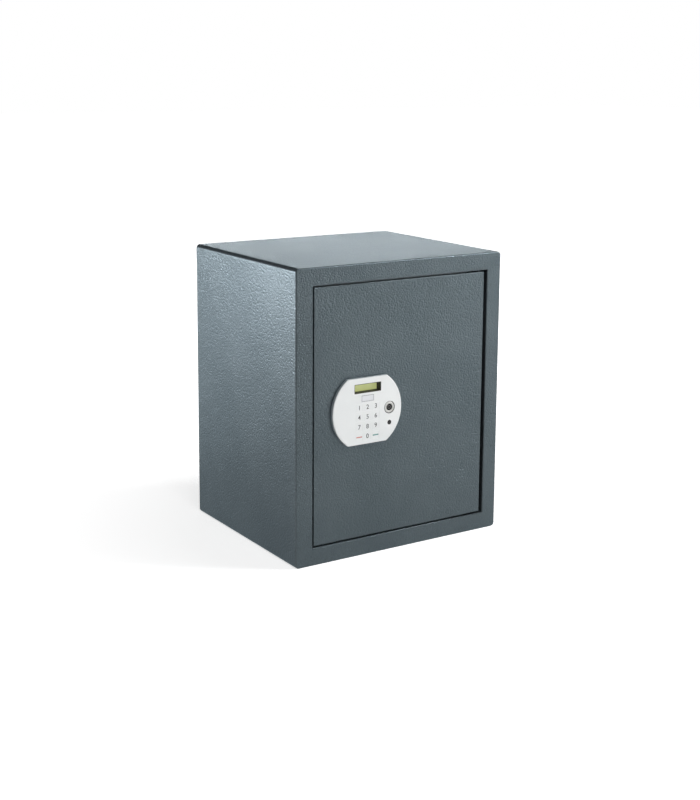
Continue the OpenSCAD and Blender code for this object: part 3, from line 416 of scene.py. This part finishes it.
# The emission on both glasses is painted light standing in for light the recess shades off.
for glass in (glass_green, glass_pale):
    shader = glass.node_tree.nodes["Principled BSDF"]
    shader.inputs["Emission Color"].default_value = paint(196, 203, 138)
    shader.inputs["Emission Strength"].default_value = 0.6
margin = 0.0012
dress(insert_plastic, "display_frame")
glass_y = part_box("display_lcd")[0].y
flush = 0.00001  # faces this near to a plane count as lying in it
work = copy_of("display_lcd")
seen = [face for face in work.faces if abs(face.calc_center_median().y - glass_y) < flush]
field = bmesh.ops.inset_region(work, faces=seen, thickness=margin, use_even_offset=True)
for face in field["faces"]:
    face.material_index = 1
glass = make_piece(work, "display_pane", glass_green, "door", "display", "display_lcd")
glass.data.materials.append(glass_pale)


# Name plate: a small satin aluminium plate with a plain dark line round it, left bare.
satin = surface("satin_plate", paint(212, 214, 217), paint(224, 226, 229), bumps=900,
                depth=0.00001, sheen=(0.36, 0.44), clouds=60, metal=0.2, stretch=(1, 1, 12))
plate_line = surface("plate_line", paint(128, 128, 136), paint(146, 146, 153), bumps=2500,
                     depth=0.000004, sheen=(0.4, 0.5), clouds=200)
plate_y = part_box("badge_plate")[0].y
border = 0.0004
line = 0.0007
work = copy_of("badge_plate")
for width, tone in ((border, 0), (line, 1)):
    seen = [face for face in work.faces if abs(face.calc_center_median().y - plate_y) < flush]
    largest = max(seen, key=lambda face: face.calc_area())
    strip = bmesh.ops.inset_region(work, faces=[largest], thickness=width, use_even_offset=True)
    for face in strip["faces"]:
        face.material_index = tone
plate = make_piece(work, "name_plate", satin, "door", "badge", "badge_plate")
plate.data.materials.append(plate_line)


# Keys: white caps flush with the panel. Ten carry a plain printed figure, the lower outer two
# a plain red and a plain green bar.
ink = surface("grey_ink", paint(58, 60, 62), paint(74, 76, 78), bumps=3000, depth=0.000004,
              sheen=(0.5, 0.6), clouds=300)
red_ink = surface("red_ink", paint(196, 134, 124), paint(208, 148, 138), bumps=3000,
                  depth=0.000004, sheen=(0.5, 0.6), clouds=300)
green_ink = surface("green_ink", paint(84, 138, 132), paint(98, 152, 145), bumps=3000,
                    depth=0.000004, sheen=(0.5, 0.6), clouds=300)
cap_down = 0.00006
cap_wider = 0.00014
cap_round = 0.00015
print_thick = 0.00004
figure_high = 0.0108
figure_heavier = 0.00012
bar_wide = 0.0116
bar_high = 0.0021
bar_round = 0.0006
for key in ("1", "2", "3", "4", "5", "6", "7", "8", "9", "0", "cancel", "enter"):
    node = "key_" + key
    low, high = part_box(node)
    middle_x = (low.x + high.x) / 2
    middle_z = (low.z + high.z) / 2
    work = copy_of(node)
    for corner in work.verts:
        if abs(corner.co.y - low.y) < flush:
            corner.co.y += cap_down
            corner.co.x += math.copysign(cap_wider, corner.co.x - middle_x)
            corner.co.z += math.copysign(cap_wider, corner.co.z - middle_z)
    ease(work, width=cap_round, steps=2,
         chosen=lambda middle: abs(middle.y - face_y - cap_down) < 2 * flush)
    make_piece(work, "cap_" + key, white_plastic, node + "_cap", "key_plastic", node)
    printed = bmesh.new()
    if key in ("cancel", "enter"):
        bmesh.ops.create_cube(printed, size=1)
        bmesh.ops.scale(printed, vec=(bar_wide, print_thick, bar_high), verts=printed.verts)
        upright = [edge for edge in printed.edges
                   if abs(edge.verts[0].co.y - edge.verts[1].co.y) > print_thick / 2]
        bmesh.ops.bevel(printed, geom=upright, offset=bar_round, segments=4, profile=0.5,
                        affect="EDGES", material=-1)
        ink_here = red_ink if key == "cancel" else green_ink
    else:
        letter = bpy.data.curves.new("figure", "FONT")
        letter.body = key
        letter.size = figure_high
        letter.offset = figure_heavier
        letter.align_x = "CENTER"
        letter.align_y = "CENTER"
        letter.extrude = print_thick / 2
        holder = bpy.data.objects.new("figure", letter)
        printed.from_mesh(bpy.data.meshes.new_from_object(holder))
        bpy.data.objects.remove(holder)
        bmesh.ops.rotate(printed, verts=printed.verts, cent=(0, 0, 0),
                         matrix=Matrix.Rotation(math.radians(90), 3, "X"))
        ink_here = ink
    bmesh.ops.translate(printed, verts=printed.verts,
                        vec=(middle_x, face_y + cap_down - print_thick / 2, middle_z))
    make_piece(printed, "print_" + key, ink_here, node + "_cap", "key_plastic")


# Reader: a turned and plated ring set in a black seal round a sunk black disc with a ring
# contact, for an electronic key. Below it a smoked window lies over the status light.
ring_metal = surface("ring_metal", paint(196, 196, 193), paint(216, 216, 213), bumps=900,
                     depth=0.00001, sheen=(0.36, 0.46), clouds=60, metal=0.75)
contact_metal = surface("contact_metal", paint(112, 112, 110), paint(132, 132, 130), bumps=900,
                        depth=0.00001, sheen=(0.3, 0.4), clouds=60, metal=1.0)
pad_black = surface("pad_black", paint(12, 12, 13), paint(19, 19, 20), bumps=1600,
                    depth=0.00002, sheen=(0.5, 0.6), clouds=60)
smoked = surface("smoked", paint(6, 6, 6), paint(12, 12, 12), bumps=2500, depth=0.000004,
                 sheen=(0.08, 0.14), clouds=60)


def turned_part(centre, outline):
    """Spins an outline of (radius, depth behind the face) round an axis along Y."""
    work = bmesh.new()
    points = [work.verts.new((radius, depth, 0)) for radius, depth in outline]
    lines = [work.edges.new(pair) for pair in zip(points, points[1:])]
    bmesh.ops.spin(work, geom=points + lines, cent=(0, 0, 0), axis=(0, 1, 0),
                   angle=math.radians(360), steps=72, use_merge=True)
    bmesh.ops.remove_doubles(work, verts=work.verts, dist=0.000001)
    bmesh.ops.recalc_face_normals(work, faces=work.faces)
    bmesh.ops.translate(work, verts=work.verts, vec=centre)
    return work


ring_low, ring_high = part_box("reader_ring")
reader = Vector(((ring_low.x + ring_high.x) / 2, ring_low.y, (ring_low.z + ring_high.z) / 2))
ring_r = (ring_high.x - ring_low.x) / 2
ring_back = door_low.y - ring_low.y
disc_low, disc_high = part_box("reader_disc")
disc_r = (disc_high.x - disc_low.x) / 2
well = disc_high.y - ring_low.y
seal_wide = 0.0011
shank_r = 0.007
shank_end = ring_high.y - ring_low.y
ring = turned_part(reader, (
    (0, well), (disc_r, well), (disc_r, 0.0010), (disc_r + 0.0002, 0.0004),
    (disc_r + 0.0006, 0.0001), (disc_r + 0.0012, 0.0), (disc_r + 0.0022, 0.00005),
    (disc_r + 0.0030, 0.0003), (ring_r - seal_wide, 0.0008), (ring_r - seal_wide, 0.0016),
    (ring_r, 0.0016), (ring_r, ring_back), (shank_r, ring_back), (shank_r, shank_end),
    (0, shank_end)))
make_piece(ring, "reader_bezel", ring_metal, "door", "ring_metal", "reader_ring")
seal = turned_part(reader, (
    (ring_r - seal_wide, 0.0016), (ring_r - seal_wide, 0.0006), (ring_r - seal_wide * 0.8, 0.0003),
    (ring_r - seal_wide * 0.3, 0.0003), (ring_r - 0.0001, 0.0006), (ring_r - 0.0001, 0.0016),
    (ring_r - seal_wide, 0.0016)))
make_piece(seal, "reader_seal", rubber, "door", "black_rubber")
disc = turned_part(reader, (
    (0, well - 0.0012), (0.0012, well - 0.0012), (0.0014, well - 0.0010),
    (disc_r - 0.0006, well - 0.0010), (disc_r - 0.0002, well - 0.0008), (disc_r - 0.0001, well),
    (0, well)))
make_piece(disc, "reader_pad", pad_black, "door", "black_plastic", "reader_disc")
contact = turned_part(reader, (
    (0.0022, well - 0.0010), (0.0023, well - 0.0013), (0.0026, well - 0.0014),
    (0.0029, well - 0.0013), (0.0030, well - 0.0010), (0.0022, well - 0.0010)))
make_piece(contact, "reader_contact", contact_metal, "door", "ring_metal")
work = copy_of("status_window")
ease(work, width=0.0004, steps=3, chosen=lambda middle: abs(middle.y - face_y) < hair)
make_piece(work, "status_lens", smoked, "door", "smoked", "status_window")


# Studio: a pale floor that fades into a white surround. Two large soft lamps stand in front,
# to the right and to the left, two long low ones behind, and a small one in front to the right
# picks out the grain.
floor_paint = bpy.data.materials.new("studio_floor")
floor_paint.use_nodes = True
tree = floor_paint.node_tree
shader = tree.nodes["Principled BSDF"]
shader.inputs["Base Color"].default_value = (0.8, 0.8, 0.8, 1)
shader.inputs["Roughness"].default_value = 0.9
shader.inputs["Specular IOR Level"].default_value = 0.0
shader.inputs["Emission Color"].default_value = (1, 1, 1, 1)
place = tree.nodes.new("ShaderNodeTexCoord")
away = tree.nodes.new("ShaderNodeVectorMath")
away.operation = "LENGTH"
wire(tree, place, "Object", away, 0)
fade = tree.nodes.new("ShaderNodeMapRange")
fade.inputs["From Min"].default_value = 0.3
fade.inputs["From Max"].default_value = 1.2
fade.inputs["To Min"].default_value = 0.6
fade.inputs["To Max"].default_value = 1.0
wire(tree, away, "Value", fade, "Value")
ray = tree.nodes.new("ShaderNodeLightPath")
shiny = tree.nodes.new("ShaderNodeMath")
shiny.operation = "MULTIPLY"
shiny.inputs[1].default_value = 0.32
wire(tree, ray, "Is Glossy Ray", shiny, 0)
clear = tree.nodes.new("ShaderNodeMath")
clear.operation = "MAXIMUM"
wire(tree, ray, "Is Camera Ray", clear, 0)
wire(tree, ray, "Is Transmission Ray", clear, 1)
seen = tree.nodes.new("ShaderNodeMath")
seen.operation = "MAXIMUM"
wire(tree, clear, "Value", seen, 0)
wire(tree, shiny, "Value", seen, 1)
lift = tree.nodes.new("ShaderNodeMath")
lift.operation = "MULTIPLY"
wire(tree, seen, "Value", lift, 0)
wire(tree, fade, "Result", lift, 1)
wire(tree, lift, "Value", shader, "Emission Strength")
work = bmesh.new()
bmesh.ops.create_grid(work, x_segments=1, y_segments=1, size=20)
mesh = bpy.data.meshes.new("studio_floor")
work.to_mesh(mesh)
work.free()
mesh.materials.append(floor_paint)
floor_paint.cycles.emission_sampling = "NONE"
floor = bpy.data.objects.new("studio_floor", mesh)
bpy.context.scene.collection.objects.link(floor)

world = bpy.data.worlds.new("studio")
bpy.context.scene.world = world
world.use_nodes = True
tree = world.node_tree
sky = tree.nodes["Background"]
place = tree.nodes.new("ShaderNodeTexCoord")
parts = tree.nodes.new("ShaderNodeSeparateXYZ")
wire(tree, place, "Generated", parts, "Vector")
low = tree.nodes.new("ShaderNodeMapRange")
low.inputs["From Min"].default_value = 0.05
low.inputs["From Max"].default_value = 0.2
low.inputs["To Min"].default_value = 1.0
low.inputs["To Max"].default_value = 0.0
wire(tree, parts, "Z", low, "Value")
behind = tree.nodes.new("ShaderNodeMapRange")
behind.inputs["From Min"].default_value = 0.0
behind.inputs["From Max"].default_value = 0.4
wire(tree, parts, "Y", behind, "Value")
wall = tree.nodes.new("ShaderNodeMath")
wall.operation = "MULTIPLY"
wire(tree, low, "Result", wall, 0)
wire(tree, behind, "Result", wall, 1)
ray = tree.nodes.new("ShaderNodeLightPath")
shown = tree.nodes.new("ShaderNodeMath")
shown.operation = "MAXIMUM"
wire(tree, wall, "Value", shown, 0)
wire(tree, ray, "Is Camera Ray", shown, 1)
level = tree.nodes.new("ShaderNodeMapRange")
level.inputs["To Min"].default_value = 0.10
level.inputs["To Max"].default_value = 1.0
wire(tree, shown, "Value", level, "Value")
wire(tree, level, "Result", sky, "Strength")
sky.inputs["Color"].default_value = (1, 1, 1, 1)


def lamp(name, place, aim, width, height, watts):
    """A soft rectangular lamp that looks at a point."""
    light = bpy.data.lights.new(name, "AREA")
    light.shape = "RECTANGLE"
    light.size = width
    light.size_y = height
    light.energy = watts
    holder = bpy.data.objects.new(name, light)
    holder.location = place
    holder.rotation_euler = (Vector(aim) - Vector(place)).to_track_quat("-Z", "Y").to_euler()
    bpy.context.scene.collection.objects.link(holder)


heart = (0, 0, 0.25)
lamp("right_front", (2.5, -1.5, 2.5), heart, width=1.4, height=1.0, watts=112)
lamp("left_front", (-1.0, -2.4, 2.4), heart, width=2.0, height=2.0, watts=34)
lamp("sparkle", (2.0, -2.3, 0.55), heart, width=0.3, height=0.3, watts=9)
lamp("left_back", (-2.4, 2.1, 0.45), heart, width=1.3, height=0.7, watts=56)
lamp("right_back", (1.6, 3.0, 0.45), heart, width=1.8, height=0.7, watts=20)


# Camera: stands to the left of the front, a little above the top, and looks slightly down. The
# small upward shift keeps the upright edges near to upright.
turned = math.radians(32.94)
down = math.radians(9.77)
tilt = math.radians(0.39)
camera = bpy.data.cameras.new("camera")
camera.lens = 61.07
camera.shift_y = -0.125
holder = bpy.data.objects.new("camera", camera)
holder.matrix_world = (Matrix.Translation((-1.2902, -2.0010, 0.8164))
                       @ Matrix.Rotation(-turned, 4, "Z")
                       @ Matrix.Rotation(math.radians(90) - down, 4, "X")
                       @ Matrix.Rotation(tilt, 4, "Z"))
bpy.context.scene.collection.objects.link(holder)
bpy.context.scene.camera = holder
bpy.context.scene.view_settings.view_transform = "Standard"
